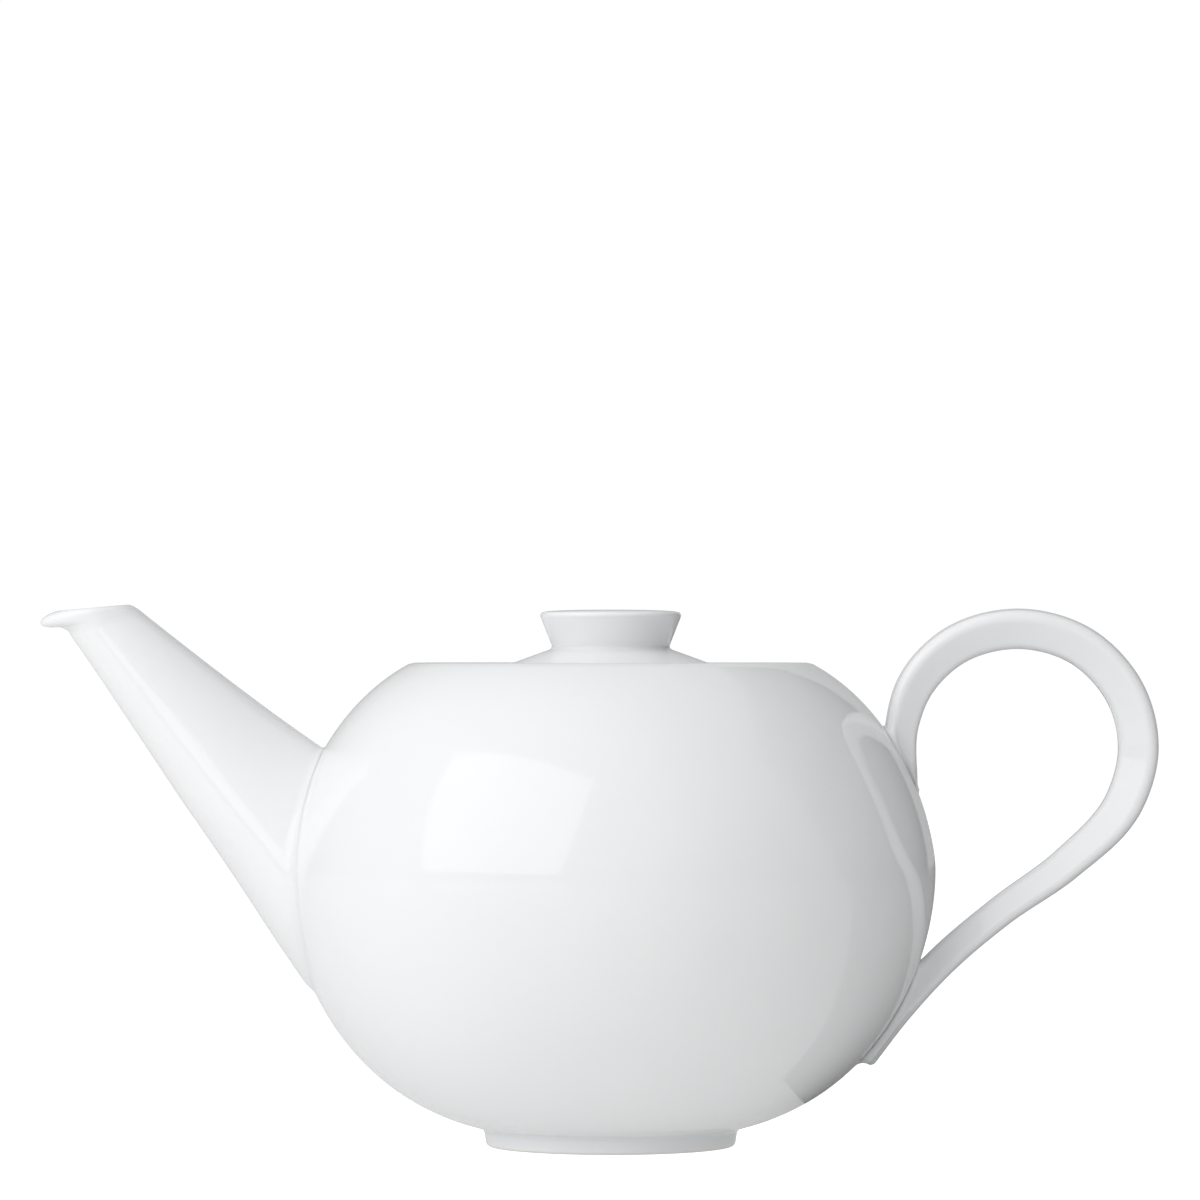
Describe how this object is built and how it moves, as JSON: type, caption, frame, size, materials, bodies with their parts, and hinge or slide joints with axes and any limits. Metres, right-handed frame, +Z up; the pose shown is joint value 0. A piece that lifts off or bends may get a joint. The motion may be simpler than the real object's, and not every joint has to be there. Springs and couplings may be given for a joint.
{
  "type": "teapot",
  "caption": "Round white porcelain teapot with a tapering spout, a strap loop handle and a sunken lift-off lid with a disc knob.",
  "frame": {"origin": "middle of the whole pot's bounding box at table height; the round body's own axis stands 2.65 mm towards the handle", "axes": "+Z up along the body's axis, spout towards -X, handle towards +X"},
  "size_m": [0.2759, 0.1602, 0.1335],
  "materials": {
    "white_glaze": "glossy, clear glaze over white porcelain"
  },
  "bodies": {
    "pot": {"pot_body": "white_glaze", "spout": "white_glaze", "handle": "white_glaze"},
    "lid": {"lid": "white_glaze", "lid_knob": "white_glaze"}
  },
  "joints": [
    {"name": "lid_lift", "type": "slide", "parent": "pot", "child": "lid", "axis": [0, 0, 1], "range_m": [0, 0.06]}
  ]
}
